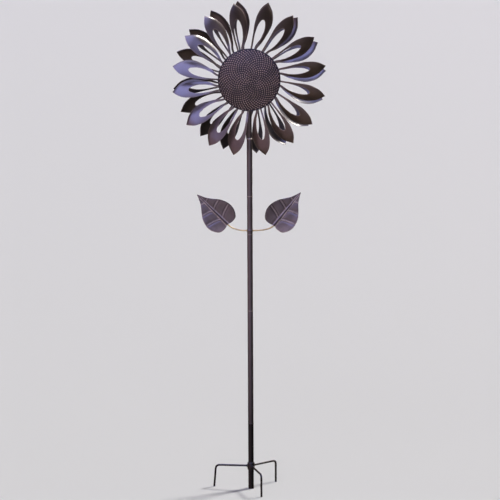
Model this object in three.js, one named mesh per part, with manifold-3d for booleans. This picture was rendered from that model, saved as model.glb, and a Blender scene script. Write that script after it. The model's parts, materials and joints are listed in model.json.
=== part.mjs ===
// Sunflower wind spinner on a garden stake.
//
// Two wheels of sixteen looped petals turn on one fixed axle, pitched opposite ways so that the wind drives
// them against each other. The head that carries the axle turns on a plug-together pole with two leaves,
// and three bent prongs hold the pole in the soil.
//
// Millimetres, +Z up. The origin is on the pole's axis at the soil line, and the flower faces -Y.

import * as THREE from "three";
import { ParametricGeometry } from "three/addons/geometries/ParametricGeometry.js";
import { mergeVertices } from "three/addons/utils/BufferGeometryUtils.js";
import Module from "manifold-3d";

const wasm = await Module();
wasm.setup();

// ---------------------------------------------------------------- driving dimensions

// Fits
const weldGap = 0.3; // left between two pieces that touch or are welded
const slipGap = 0.3; // on the radius, between a shaft or plug and its bore
const sheet = 1.2; // petals, plates, leaves and seed disc

// Pole, from the soil up
const poleDiameter = 22;
const poleWall = 1.5;
const plugLength = 45; // reduced end of a section, inside the one below
const plugWall = 1.5;
const postDepth = 190; // of the bottom post, below the soil
const postHeight = 270; // soil to the post's top rim
const footThickness = 2; // closes the post's lower end
const lowerLength = 461;
const middleLength = 309;
const leafSectionLength = 153;
const upperLength = 227;

// Head
const stemLength = 240; // pole's top rim to the axle
const stemWall = 1.5;
const stemPlugDepth = 70; // length of stem that turns inside the pole
const stopHeight = 4; // ring that rests on the pole's rim
const bossMargin = 1.8; // cross tube that holds the axle, over the stem, on the radius
const bossLength = 54;

// Axle, bearings and hubs
const axleDiameter = 8;
const spacerLength = 7.4;
const spacerWall = 2.4;
const bearingDiameter = 22;
const bearingWidth = 7;
const raceHeight = 2.2; // of the inner and outer races, on the radius
const shieldRecess = 0.5;
const hubLength = 30;
const hubWall = 3.7;
const hubLip = 2.3; // inner shoulder between the two bearings, on the radius
const flangeRadius = 32;
const flangeThickness = 3;
const hubNose = 3; // hub beyond the plate
const nutWidth = 13; // across the flats
const nutThickness = 6.5;
const axleOverhang = 1.5; // beyond the nut

// Wheels
const wheelRadius = 305; // axle to petal tip
const seedDiscRadius = 123;
const seedDiscDepth = 14;
const plateThickness = 2;
const petalRootLength = 39; // hidden behind the seed disc
const petalWeldLength = 16; // of the root, on the plate
const frontTipAngle = 12; // first petal's even place, degrees clockwise from the top, seen from the front
const rearTipAngle = 17.1;
const petalPitch = 27; // degrees, about the petal's own length
const petalBendRadius = 120; // across the petal
const petalTwistLength = 46; // from the disc's edge to where the full pitch is reached
const petalTipCurl = 8; // how far the tip falls back
const petalCurlStart = 0.78; // share of the petal where the tip starts to fall back

// The petals are set by hand: how far each one is turned from its even place, in degrees.
const frontSettings = [1.8, 0, 0, 0.5, 0.5, 1, -1.5, -1.5, 0, -3, -2.6, 1.5, -1.8, 0, -1.6, -0.6];
const rearSettings = [-2.5, -0.4, 1.2, 0.8, 0, 0, 0, 0, 3, 0.3, 1.4, -3, 2.5, -0.8, -1.6, -3];

// Petal outline as seen from the front: sideways distance (clockwise is +) and share of the way from the
// seed disc's edge to the tip. Each edge starts with the place of its root.
const petalLeftEdge = { root: -23, points: [[-24, 0], [-28, 0.32], [-31, 0.6], [-21, 0.84], [0, 1]] };
const petalRightEdge = { root: -1, points: [[0, 0], [17, 0.2], [35, 0.53], [27, 0.8], [0, 1]] };
const openingLeftEdge = { root: -16, points: [[-17, 0], [-20.5, 0.3], [-17, 0.5], [-8, 0.625], [0, 0.65]] };
const openingRightEdge = { root: -8, points: [[-8, 0], [6, 0.2], [12.5, 0.42], [8, 0.6], [0, 0.65]] };

// Leaves
const leafLength = 170;
const leafHalfWidth = 65;
const leafCup = 9; // how far the edges stand forward of the midrib
const leafFold = 1.35; // power that sets where the side veins leave the midrib
const leafStemDiameter = 6;
const leafKnotHeight = 14; // leaf section's lower rim to the stems
const leafKnotLength = 9;
const leafKnotRise = 1.6; // ring round the pole where the stems are welded, on the radius
const leafStemOverlap = 26; // length of stem welded along the back of the leaf
// Reach is from the pole's axis to the leaf's base, rise from the stem's root to it, angle above level.
const leaves = [
  { label: "left", side: -1, reach: 88, rise: 25, angle: 45 },
  { label: "right", side: 1, reach: 95, rise: 20, angle: 51 },
];

// Leaf outline from the base to the tip: share of the length, then share of the half width.
const leafOutline = [[0, 0.06], [-0.024, 0.38], [0.02, 0.74], [0.235, 1], [0.5, 0.85], [0.78, 0.29], [1, 0.015]];

// Stake
const prongDiameter = 8;
const prongHeight = 94; // soil to the prongs' arms at the pole
const prongReach = 146; // pole's axis to the leg
const prongFall = 4; // of the arm towards its corner
const prongBend = 12;
const prongDepth = 95; // legs below the soil
const prongCollarRise = 3.5; // on the radius
const prongCollarLength = 28;
const prongCollarChamfer = { depth: 1.5, length: 4 };
const prongs = [
  { name: "prong_left", azimuth: 166.3, splay: 5 },
  { name: "prong_right", azimuth: 46.3, splay: 0 },
  { name: "prong_front", azimuth: -73.7, splay: 0 },
];

// Facets
const roundSteps = 16;
const discSteps = 32;
const rodSides = 8;
const petalSteps = 10; // along each side of a petal, two to each stretch of its edge
const leafSteps = 9;
const prongSteps = 22;
const leafStemSteps = 9;
const seedDiscRings = 5;

// ---------------------------------------------------------------- sizes that follow

const poleRadius = poleDiameter / 2;
const poleBore = poleRadius - poleWall;
const plugRadius = poleBore - slipGap;
const lowerRim = postHeight + lowerLength;
const middleRim = lowerRim + middleLength;
const leafSectionRim = middleRim + leafSectionLength;
const poleTop = leafSectionRim + upperLength;
const axleHeight = poleTop + stemLength;

const bossRadius = plugRadius + bossMargin;
const axleRadius = axleDiameter / 2;
const axleBore = axleRadius + slipGap;
const bearingRadius = bearingDiameter / 2;
const hubBore = bearingRadius + slipGap;
const hubRadius = hubBore + hubWall;
const nutRadius = nutWidth / Math.sqrt(3);

// Places along the axle, measured outwards from the pole's axis on either side.
const spacerStart = bossLength / 2 + weldGap;
const hubStart = spacerStart + spacerLength + weldGap;
const hubEnd = hubStart + hubLength;
const flangeEnd = hubEnd - hubNose - plateThickness - weldGap;
const plateStart = flangeEnd + weldGap;
const petalPlane = plateStart + plateThickness + weldGap + sheet / 2;
const discRim = petalPlane + sheet / 2 + weldGap;
const nutStart = hubEnd + weldGap;
const axleEnd = nutStart + nutThickness + axleOverhang;

const petalRootRadius = seedDiscRadius - petalRootLength;
const plateRadius = petalRootRadius + petalWeldLength;
const petalLength = wheelRadius - seedDiscRadius;
const leafKnot = middleRim + leafKnotHeight;

// ---------------------------------------------------------------- finishes

const bronzeCoat = new THREE.MeshStandardMaterial({ color: 0x4a3f45, roughness: 0.48, metalness: 0.55 });
const petalCoat = new THREE.MeshStandardMaterial({
  color: 0x5a5062,
  roughness: 0.42,
  metalness: 0.55,
  side: THREE.DoubleSide,
});
const seedCoat = new THREE.MeshStandardMaterial({ color: 0x54474b, roughness: 0.55, metalness: 0.5 });
const blackCoat = new THREE.MeshStandardMaterial({ color: 0x1c1a1a, roughness: 0.5, metalness: 0.4 });
const zincSteel = new THREE.MeshStandardMaterial({ color: 0x8d8d88, roughness: 0.35, metalness: 0.9 });
const bearingSteel = new THREE.MeshStandardMaterial({ color: 0xa9a9a6, roughness: 0.25, metalness: 1 });

// ---------------------------------------------------------------- shape helpers

const radians = THREE.MathUtils.degToRad;

/** Joins a surface's shared corners, drops its empty triangles and turns its faces outwards. */
function closed(geometry) {
  const bare = geometry.clone();
  bare.deleteAttribute("normal");
  bare.deleteAttribute("uv");
  const merged = mergeVertices(bare, 1e-4);
  const corner = (i) => new THREE.Vector3().fromBufferAttribute(merged.attributes.position, i);
  const triangles = [];
  let volume = 0;
  for (let i = 0; i < merged.index.count; i += 3) {
    const [a, b, c] = [0, 1, 2].map((k) => merged.index.getX(i + k));
    if (a === b || b === c || c === a) continue;
    triangles.push([a, b, c]);
    volume += corner(a).dot(corner(b).cross(corner(c)));
  }
  const order = volume < 0 ? triangles.map(([a, b, c]) => [a, c, b]) : triangles;
  merged.setIndex(order.flat());
  merged.computeVertexNormals();
  return merged;
}

/** Turns a closed profile of [radius, place] about the Y axis. */
function turned(profile, steps = roundSteps) {
  const points = [...profile, profile[0]].map(([radius, place]) => new THREE.Vector2(radius, place));
  return closed(new THREE.LatheGeometry(points, steps));
}

/** Turns a closed profile of [radius, height] about the Z axis. */
function turnedUpright(profile, steps = roundSteps) {
  return turned(profile, steps).rotateX(Math.PI / 2);
}

/** Rings the profile of a plain tube. */
const tubeProfile = (inner, outer, start, end) => [
  [inner, start],
  [outer, start],
  [outer, end],
  [inner, end],
];

/** Sheet or bar through rings of corners: sectionAt(share) gives the ring at each share of the length. */
function skinned(sectionAt, steps, corners) {
  const rows = steps + 2;
  const surface = (u, v, target) => {
    const row = Math.round(u * rows);
    const ring = sectionAt(THREE.MathUtils.clamp((row - 1) / steps, 0, 1));
    if (row > 0 && row < rows) {
      target.copy(ring[Math.round(v * corners) % corners]);
      return;
    }
    target.set(0, 0, 0);
    ring.forEach((point) => target.addScaledVector(point, 1 / corners));
  };
  return closed(new ParametricGeometry(surface, rows, corners));
}

/** Round rod along a path. */
function rod(path, radius, steps) {
  const section = new THREE.Shape().absarc(0, 0, radius, 0, 2 * Math.PI);
  return closed(
    new THREE.ExtrudeGeometry(section, { extrudePath: path, steps, curveSegments: rodSides / 2 }),
  );
}

function toSolid(geometry) {
  return new wasm.Manifold(
    new wasm.Mesh({
      numProp: 3,
      vertProperties: new Float32Array(geometry.attributes.position.array),
      triVerts: new Uint32Array(geometry.index.array),
    }),
  );
}

function fromSolid(solid) {
  const mesh = solid.getMesh();
  const geometry = new THREE.BufferGeometry();
  geometry.setAttribute("position", new THREE.BufferAttribute(mesh.vertProperties, 3));
  geometry.setIndex(new THREE.BufferAttribute(mesh.triVerts, 1));
  geometry.computeVertexNormals();
  return geometry;
}

function piece(name, geometry, material) {
  const mesh = new THREE.Mesh(geometry, material);
  mesh.name = name;
  return mesh;
}

// ---------------------------------------------------------------- pole

/** Profile of a pole section: full tube from bottom to top, with a reduced plug below it. */
function sectionProfile(bottom, top) {
  const plugEnd = bottom - plugLength;
  const plugBore = plugRadius - plugWall;
  return [
    [plugBore, plugEnd],
    [plugRadius, plugEnd],
    [plugRadius, bottom],
    [poleRadius, bottom],
    [poleRadius, top],
    [poleBore, top],
    [poleBore, bottom + plugWall],
    [plugBore, bottom + plugWall],
  ];
}

function leafSectionProfile() {
  const bottom = middleRim + weldGap;
  const profile = sectionProfile(bottom, leafSectionRim);
  const low = leafKnot - leafKnotLength / 2;
  const high = leafKnot + leafKnotLength / 2;
  const knot = [
    [poleRadius, low],
    [poleRadius + leafKnotRise, low + leafKnotRise],
    [poleRadius + leafKnotRise, high - leafKnotRise],
    [poleRadius, high],
  ];
  profile.splice(4, 0, ...knot);
  return profile;
}

function postProfile() {
  return [
    [0, -postDepth],
    [poleRadius, -postDepth],
    [poleRadius, postHeight],
    [poleBore, postHeight],
    [poleBore, footThickness - postDepth],
    [0, footThickness - postDepth],
  ];
}

function pole() {
  const group = new THREE.Group();
  const section = (name, bottom, top) =>
    piece(name, turnedUpright(sectionProfile(bottom + weldGap, top)), bronzeCoat);
  group.add(
    piece("stake_post", turnedUpright(postProfile()), blackCoat),
    section("pole_lower", postHeight, lowerRim),
    section("pole_middle", lowerRim, middleRim),
    piece("leaf_section", turnedUpright(leafSectionProfile()), bronzeCoat),
    section("pole_upper", leafSectionRim, poleTop),
  );
  return group;
}

// ---------------------------------------------------------------- stake

function prongCollar() {
  const inner = poleRadius + weldGap;
  const outer = inner + prongCollarRise;
  const low = prongHeight - prongCollarLength / 2;
  const high = prongHeight + prongCollarLength / 2;
  const chamfer = prongCollarChamfer;
  const profile = [
    [inner, low],
    [outer - chamfer.depth, low],
    [outer, low + chamfer.length],
    [outer, high - chamfer.length],
    [outer - chamfer.depth, high],
    [inner, high],
  ];
  return piece("prong_collar", turnedUpright(profile), blackCoat);
}

/** Bent rod: an arm out from the collar, a bend, and a leg down into the soil. */
function prong({ name, azimuth, splay }) {
  const start = poleRadius + prongCollarRise + 2 * weldGap;
  const corner = new THREE.Vector3(prongReach, 0, prongHeight - prongFall);
  const root = new THREE.Vector3(start, 0, prongHeight);
  const drop = corner.z + prongDepth;
  const foot = new THREE.Vector3(prongReach + drop * Math.tan(radians(splay)), 0, -prongDepth);
  const towards = (from, to) => to.clone().sub(from).normalize();
  const beforeBend = corner.clone().addScaledVector(towards(corner, root), prongBend);
  const afterBend = corner.clone().addScaledVector(towards(corner, foot), prongBend);
  const path = new THREE.CurvePath();
  path.add(new THREE.LineCurve3(root, beforeBend));
  path.add(new THREE.QuadraticBezierCurve3(beforeBend, corner, afterBend));
  path.add(new THREE.LineCurve3(afterBend, foot));
  const mesh = piece(name, rod(path, prongDiameter / 2, prongSteps), blackCoat);
  mesh.rotation.z = radians(azimuth);
  return mesh;
}

// ---------------------------------------------------------------- leaves

/** Ring of corners across the leaf at a share of its length: front face left to right, then the back. */
function leafRing(share) {
  const outline = new THREE.SplineCurve(leafOutline.map(([x, y]) => new THREE.Vector2(x, y)));
  const edge = outline.getPoint(share);
  const midrib = share ** leafFold;
  const across = [-1, -0.5, 0, 0.5, 1];
  const point = (side, depth) => {
    const reach = Math.abs(side);
    const along = leafLength * THREE.MathUtils.lerp(midrib, edge.x, reach);
    const away = leafHalfWidth * edge.y * side;
    const forward = leafCup * (away / leafHalfWidth) ** 2;
    return new THREE.Vector3(along, depth - forward, away);
  };
  const front = across.map((side) => point(side, -sheet / 2));
  const back = across.map((side) => point(side, sheet / 2)).reverse();
  return [...front, ...back];
}

/** Leaf and its stem on one side: side is -1 for left and 1 for right. */
function leafOnStem({ label, side, reach, rise, angle }) {
  const group = new THREE.Group();
  const leafStemRadius = leafStemDiameter / 2;
  const start = poleRadius + leafKnotRise + weldGap;
  const direction = new THREE.Vector3(side * Math.cos(radians(angle)), 0, Math.sin(radians(angle)));
  const base = new THREE.Vector3(side * reach, 0, leafKnot + rise);

  const path = new THREE.CurvePath();
  const root = new THREE.Vector3(side * start, 0, leafKnot);
  const bend = new THREE.Vector3(side * (reach - rise / Math.tan(radians(angle))), 0, leafKnot);
  const end = base.clone().addScaledVector(direction, leafStemOverlap);
  path.add(new THREE.QuadraticBezierCurve3(root, bend, base));
  path.add(new THREE.LineCurve3(base, end));
  group.add(piece("leaf_stem_" + label, rod(path, leafStemRadius, leafStemSteps), bronzeCoat));

  const leaf = piece("leaf_" + label, skinned(leafRing, leafSteps, 10), petalCoat);
  leaf.position.copy(base);
  leaf.position.y = -(leafStemRadius + weldGap + sheet / 2);
  leaf.rotation.y = side < 0 ? radians(angle) - Math.PI : -radians(angle);
  group.add(leaf);
  return group;
}

// ---------------------------------------------------------------- head

function headStem() {
  const bottom = poleTop - stemPlugDepth;
  const stop = poleTop + weldGap;
  const inner = plugRadius - stemWall;
  const stem = turnedUpright([
    [inner, bottom],
    [plugRadius, bottom],
    [plugRadius, stop],
    [poleRadius, stop],
    [poleRadius, stop + stopHeight],
    [plugRadius, stop + stopHeight],
    [plugRadius, axleHeight],
    [inner, axleHeight],
  ]);
  const acrossAxle = (radius, length) =>
    closed(new THREE.CylinderGeometry(radius, radius, length, roundSteps)).translate(0, 0, axleHeight);
  const joined = toSolid(stem).add(toSolid(acrossAxle(bossRadius, bossLength)));
  const bored = joined.subtract(toSolid(acrossAxle(axleBore, bossLength + 2)));
  return piece("head_stem", fromSolid(bored), bronzeCoat);
}

function axle() {
  const rodShape = closed(new THREE.CylinderGeometry(axleRadius, axleRadius, 2 * axleEnd, roundSteps));
  return piece("axle", rodShape, zincSteel);
}

function nut(name, side) {
  const hexagon = new THREE.Shape();
  for (let corner = 0; corner < 6; corner++) {
    const angle = (corner * Math.PI) / 3;
    const place = [nutRadius * Math.cos(angle), nutRadius * Math.sin(angle)];
    if (corner === 0) hexagon.moveTo(...place);
    else hexagon.lineTo(...place);
  }
  hexagon.closePath();
  hexagon.holes.push(new THREE.Path().absarc(0, 0, axleBore, 0, 2 * Math.PI, true));
  const shape = new THREE.ExtrudeGeometry(hexagon, {
    depth: nutThickness,
    bevelEnabled: false,
    curveSegments: roundSteps / 2,
  });
  const mesh = piece(name, closed(shape.rotateX(Math.PI / 2)), zincSteel);
  mesh.position.y = side < 0 ? -nutStart : nutStart + nutThickness;
  return mesh;
}

function spacer(name, side) {
  const start = side * spacerStart;
  const end = side * (spacerStart + spacerLength);
  const profile = tubeProfile(axleBore, axleBore + spacerWall, start, end);
  return piece(name, turned(profile), zincSteel);
}

// ---------------------------------------------------------------- wheels

/** Ball bearing seen as its two races with the shield set back between them. */
function bearing(name, side, start) {
  const end = start + bearingWidth;
  const innerRace = axleBore + raceHeight;
  const outerRace = bearingRadius - raceHeight;
  const profile = [
    [axleBore, start],
    [innerRace, start],
    [innerRace, start + shieldRecess],
    [outerRace, start + shieldRecess],
    [outerRace, start],
    [bearingRadius, start],
    [bearingRadius, end],
    [outerRace, end],
    [outerRace, end - shieldRecess],
    [innerRace, end - shieldRecess],
    [innerRace, end],
    [axleBore, end],
  ];
  return piece(name, turned(profile.map(([r, y]) => [r, side * y])), bearingSteel);
}

/** Hub tube with a bearing seat at each end, a lip between them and a flange for the plate. */
function hub(name, side) {
  const seat = bearingWidth + weldGap;
  const lip = hubBore - hubLip;
  const profile = [
    [hubBore, hubStart],
    [hubRadius, hubStart],
    [hubRadius, flangeEnd - flangeThickness],
    [flangeRadius, flangeEnd - flangeThickness],
    [flangeRadius, flangeEnd],
    [hubRadius, flangeEnd],
    [hubRadius, hubEnd],
    [hubBore, hubEnd],
    [hubBore, hubEnd - seat],
    [lip, hubEnd - seat],
    [lip, hubStart + seat],
    [hubBore, hubStart + seat],
  ];
  return piece(name, turned(profile.map(([r, y]) => [r, side * y])), bronzeCoat);
}

/** Round plate that the petals' roots are welded to. */
function plate(name, side) {
  const bore = hubRadius + weldGap;
  const profile = tubeProfile(bore, plateRadius, side * plateStart, side * (plateStart + plateThickness));
  return piece(name, turned(profile, discSteps), bronzeCoat);
}

/** Domed seed disc, open behind. */
function seedDisc(side) {
  const dome = (radius) => discRim + seedDiscDepth * (1 - (radius / seedDiscRadius) ** 2);
  const radii = Array.from({ length: seedDiscRings + 1 }, (_, i) => (seedDiscRadius * i) / seedDiscRings);
  const face = radii.map((radius) => [radius, side * (dome(radius) + sheet)]);
  const back = radii.map((radius) => [radius, side * dome(radius)]).reverse();
  return piece("seed_disc", turned([...face, ...back], discSteps), seedCoat);
}

/** Curve of one petal edge, in sideways distance and radius. */
function petalEdge({ root, points }) {
  const outer = points.map(([x, share]) => new THREE.Vector2(x, seedDiscRadius + share * petalLength));
  return new THREE.SplineCurve([new THREE.Vector2(root, petalRootRadius), ...outer]);
}

/** Place and outward direction of the petal's sheet at a sideways distance and radius. */
function petalSheet(x, radius) {
  const share = (radius - seedDiscRadius) / petalLength;
  const twist = THREE.MathUtils.smoothstep(radius, seedDiscRadius + 1, seedDiscRadius + petalTwistLength);
  const pitch = radians(petalPitch);
  const lean = x / petalBendRadius + Math.sin(pitch);
  const level = Math.sqrt(1 - lean * lean);
  const curl = petalTipCurl * Math.max(0, (share - petalCurlStart) / (1 - petalCurlStart)) ** 2;
  const out = twist * petalBendRadius * (level - Math.cos(pitch)) - curl;
  const slope = (twist * lean) / level;
  const normal = new THREE.Vector2(slope, 1).normalize();
  return { out, normal };
}

/** One looped petal with its tip upright: the band runs up one leg, over the tip and down the other. */
function petal(name, side) {
  const edges = [
    [petalEdge(petalLeftEdge), petalEdge(openingLeftEdge)],
    [petalEdge(petalRightEdge), petalEdge(openingRightEdge)],
  ];
  const band = (share) => {
    const half = share <= 0.5 ? 0 : 1;
    const along = half ? 2 - 2 * share : 2 * share;
    const [outer, inner] = edges[half].map((edge) => edge.getPoint(along));
    const across = [outer, inner];
    const corner = (flat, depth) => {
      const { out, normal } = petalSheet(flat.x, flat.y);
      const x = flat.x + normal.x * depth;
      return new THREE.Vector3(x, side * (petalPlane + out + normal.y * depth), flat.y);
    };
    const front = across.map((flat) => corner(flat, sheet / 2));
    const back = across.map((flat) => corner(flat, -sheet / 2)).reverse();
    return [...front, ...back];
  };
  return piece(name, skinned(band, 2 * petalSteps, 4), petalCoat);
}

/** One wheel: hub, bearings, plate and petals. */
function wheel(label, side, tipAngle, settings) {
  const group = new THREE.Group();
  group.add(
    hub(label + "_hub", side),
    bearing(label + "_bearing_inner", side, hubStart),
    bearing(label + "_bearing_outer", side, hubEnd - bearingWidth),
    plate(label + "_plate", side),
  );
  settings.forEach((setting, i) => {
    const mesh = petal(label + "_petal_" + String(i + 1).padStart(2, "0"), side);
    mesh.rotation.y = radians(tipAngle + (360 * i) / settings.length + setting);
    group.add(mesh);
  });
  return group;
}

// ---------------------------------------------------------------- assembly

const front = -1;
const rear = 1;

const axleLine = new THREE.Group();
axleLine.position.z = axleHeight;
axleLine.add(
  axle(),
  spacer("front_spacer", front),
  spacer("rear_spacer", rear),
  nut("front_nut", front),
  nut("rear_nut", rear),
  wheel("front", front, frontTipAngle, frontSettings),
  wheel("rear", rear, rearTipAngle, rearSettings),
  seedDisc(front),
);

const spinner = new THREE.Group();
spinner.add(
  pole(),
  prongCollar(),
  ...prongs.map(prong),
  ...leaves.map(leafOnStem),
  headStem(),
  axleLine,
);

export default spinner;
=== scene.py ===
"""Sunflower wind spinner on a garden stake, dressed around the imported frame.

Two wheels of looped sheet-steel petals stand one behind the other on a fixed axle, over a pole of
plug-together tubes with two stamped leaves and a step-in stake. Every piece is in metres, in the frame's
own axes: +Z up, the flower facing -Y, and the soil at z = 0.
"""

import json
import logging
import math
from dataclasses import dataclass, field
from enum import Enum
from typing import Callable, Iterable, Sequence

import bmesh
import bpy
from mathutils import Matrix, Vector


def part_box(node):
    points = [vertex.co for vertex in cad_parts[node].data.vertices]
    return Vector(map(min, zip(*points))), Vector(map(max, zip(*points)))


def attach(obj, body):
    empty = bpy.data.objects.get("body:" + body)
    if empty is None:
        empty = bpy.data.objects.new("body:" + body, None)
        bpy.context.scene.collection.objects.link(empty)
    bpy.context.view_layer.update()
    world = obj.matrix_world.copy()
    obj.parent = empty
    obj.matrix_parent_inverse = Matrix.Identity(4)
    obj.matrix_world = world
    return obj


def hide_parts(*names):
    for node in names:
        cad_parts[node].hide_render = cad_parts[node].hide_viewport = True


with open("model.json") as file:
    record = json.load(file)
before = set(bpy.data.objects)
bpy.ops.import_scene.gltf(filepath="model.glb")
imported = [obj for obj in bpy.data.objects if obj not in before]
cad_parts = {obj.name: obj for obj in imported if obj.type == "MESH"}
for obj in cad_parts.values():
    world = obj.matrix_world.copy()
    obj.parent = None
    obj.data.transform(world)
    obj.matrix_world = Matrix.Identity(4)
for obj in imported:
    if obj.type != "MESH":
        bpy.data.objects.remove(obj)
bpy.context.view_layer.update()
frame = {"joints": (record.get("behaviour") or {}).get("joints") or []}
log = logging.getLogger("spinner")

Profile = Sequence[tuple[float, float]]


class Side(Enum):
    """Which way a wheel faces along Y, as seen from the pole."""

    FRONT = -1
    REAR = 1


class Axis(Enum):
    """Direction that a turned part is spun about."""

    POLE = (0.0, 0.0, 1.0)
    AXLE = (0.0, 1.0, 0.0)


# ------------------------------------------------------------------ finishes


def linear(hex_code: str) -> tuple[float, float, float, float]:
    """Turns an sRGB hex colour into linear RGBA.

    Args:
        hex_code: six hex digits, such as "3a3033".

    Returns:
        The linear red, green, blue and an alpha of 1.
    """
    channels = []
    for start in (0, 2, 4):
        value = int(hex_code[start : start + 2], 16) / 255
        channels.append(value / 12.92 if value <= 0.04045 else ((value + 0.055) / 1.055) ** 2.4)
    return (*channels, 1.0)


def add_node(tree: bpy.types.NodeTree, kind: str, inputs: dict | None = None, **settings) -> bpy.types.Node:
    """Adds a node with its settings and links.

    Args:
        tree: the node tree.
        kind: the node's Blender type.
        inputs: socket name or number to a value, or to the output socket that feeds it.
        **settings: the node's own properties.

    Returns:
        The new node.
    """
    made = tree.nodes.new(kind)
    for key, value in settings.items():
        setattr(made, key, value)
    for key, value in (inputs or {}).items():
        if isinstance(value, bpy.types.NodeSocket):
            tree.links.new(value, made.inputs[key])
        else:
            made.inputs[key].default_value = value
    return made


def new_material(name: str) -> tuple[bpy.types.Material, bpy.types.NodeTree]:
    """Makes a material and empties its node tree.

    Args:
        name: the material's name.

    Returns:
        The material and its node tree.
    """
    material = bpy.data.materials.new(name)
    material.use_nodes = True
    material.node_tree.nodes.clear()
    return material, material.node_tree


@dataclass(frozen=True)
class PowderCoat:
    """Baked polyester powder coat on steel sheet and tube.

    The eye reads it as a dark, satin, slightly pebbled skin whose sheen takes the colour of the sky, with
    paler bronze where handling has rubbed the high spots and where highlights are painted, and near-black
    painted shade in the hollows.
    """

    name: str
    deep: str
    base: str
    highlight_and_wear: str
    roughness: float = 0.36
    sheen: float = 1.0
    gloss_coat: float = 0.0
    shade_tone: str = "0c0a0a"
    patch_size: float = 0.045
    pebble_size: float = 0.0014
    pebble_depth: float = 0.00012

    def material(self) -> bpy.types.Material:
        """Builds the node material."""
        material, tree = new_material(self.name)
        coords = add_node(tree, "ShaderNodeTexCoord").outputs["Object"]
        mottle = {"Vector": coords, "Scale": 1 / self.patch_size, "Detail": 4.0, "Roughness": 0.6}
        patches = add_node(tree, "ShaderNodeTexNoise", mottle).outputs["Fac"]
        # Marked on each mesh: 1 for a paler tone, which is rubbed wear in some places and a painted
        # highlight in others; -1 for near-black, which is painted shade, and the pole's darkening towards
        # its foot.
        wear_and_light_marks = add_node(tree, "ShaderNodeAttribute", attribute_name="wear_and_light").outputs["Fac"]
        shares = {}
        for name, source, low, high, at_low, at_high in (
            ("blotched", patches, 0.35, 0.65, 0.0, 1.0),
            ("broken", patches, 0.38, 0.6, 0.35, 1.0),
            ("dulled", patches, 0.3, 0.7, self.roughness - 0.05, self.roughness + 0.07),
            ("highlit_and_handled", wear_and_light_marks, 0.0, 1.0, 0.0, 1.0),
            ("painted_shade", wear_and_light_marks, 0.0, -1.0, 0.0, 1.0),
            # Painted shade also turns the reflection down.
            ("sheen", wear_and_light_marks, 0.0, -1.0, self.sheen, 0.15 * self.sheen),
        ):
            ends = {"From Min": low, "From Max": high, "To Min": at_low, "To Max": at_high}
            shares[name] = add_node(tree, "ShaderNodeMapRange", {"Value": source, **ends}).outputs["Result"]
        paled = {0: shares["highlit_and_handled"], 1: shares["broken"]}
        shares["paled"] = add_node(tree, "ShaderNodeMath", paled, operation="MULTIPLY").outputs[0]
        colour = linear(self.deep)
        # Layers: random blotches, the paler tone of wear and painted highlights, then near-black painted
        # shade.
        for name, layer in (("blotched", self.base), ("paled", self.highlight_and_wear), ("painted_shade", self.shade_tone)):
            mixed = {0: shares[name], 6: colour, 7: linear(layer)}
            colour = add_node(tree, "ShaderNodeMix", mixed, data_type="RGBA").outputs[2]
        # Orange peel: the skin's flow marks, a little over a millimetre apart.
        peel = {"Vector": coords, "Scale": 1 / self.pebble_size, "Detail": 1.0}
        pebbles = add_node(tree, "ShaderNodeTexNoise", peel).outputs["Fac"]
        dented = {"Height": pebbles, "Strength": 0.35, "Distance": self.pebble_depth}
        bump = add_node(tree, "ShaderNodeBump", dented).outputs["Normal"]
        shader = add_node(
            tree,
            "ShaderNodeBsdfPrincipled",
            {
                "Base Color": colour,
                "Roughness": shares["dulled"],
                "Metallic": 0.0,
                "IOR": 1.6,
                "Specular IOR Level": shares["sheen"],
                "Coat Weight": self.gloss_coat,
                "Coat Roughness": 0.12,
                "Normal": bump,
            },
        )
        add_node(tree, "ShaderNodeOutputMaterial", {"Surface": shader.outputs[0]})
        return material


@dataclass(frozen=True)
class PlatedSteel:
    """Bright zinc plate or ground bearing steel.

    The eye reads it as a pale grey metal, a little clouded, with a faint turned grain in its highlights.
    """

    name: str
    base: str
    shade: str
    roughness: float
    cloud_size: float = 1 / 180
    grain_size: float = 0.0006
    grain_stretch: float = 30.0
    grain_depth: float = 0.00005

    def material(self) -> bpy.types.Material:
        """Builds the node material."""
        material, tree = new_material(self.name)
        coords = add_node(tree, "ShaderNodeTexCoord").outputs["Object"]
        clouds = {"Vector": coords, "Scale": 1 / self.cloud_size, "Detail": 3.0}
        cloud = add_node(tree, "ShaderNodeTexNoise", clouds).outputs["Fac"]
        mixed = {0: cloud, 6: linear(self.shade), 7: linear(self.base)}
        colour = add_node(tree, "ShaderNodeMix", mixed, data_type="RGBA").outputs[2]
        squeeze = {"Vector": coords, "Scale": (1.0, self.grain_stretch, 1.0)}
        stretched = add_node(tree, "ShaderNodeMapping", squeeze).outputs["Vector"]
        lines = {"Vector": stretched, "Scale": 1 / (self.grain_stretch * self.grain_size)}
        grain = add_node(tree, "ShaderNodeTexNoise", lines).outputs["Fac"]
        scored = {"Height": grain, "Strength": 0.2, "Distance": self.grain_depth}
        bump = add_node(tree, "ShaderNodeBump", scored).outputs["Normal"]
        shader = add_node(
            tree,
            "ShaderNodeBsdfPrincipled",
            {"Base Color": colour, "Roughness": self.roughness, "Metallic": 1.0, "Normal": bump},
        )
        add_node(tree, "ShaderNodeOutputMaterial", {"Surface": shader.outputs[0]})
        return material


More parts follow.
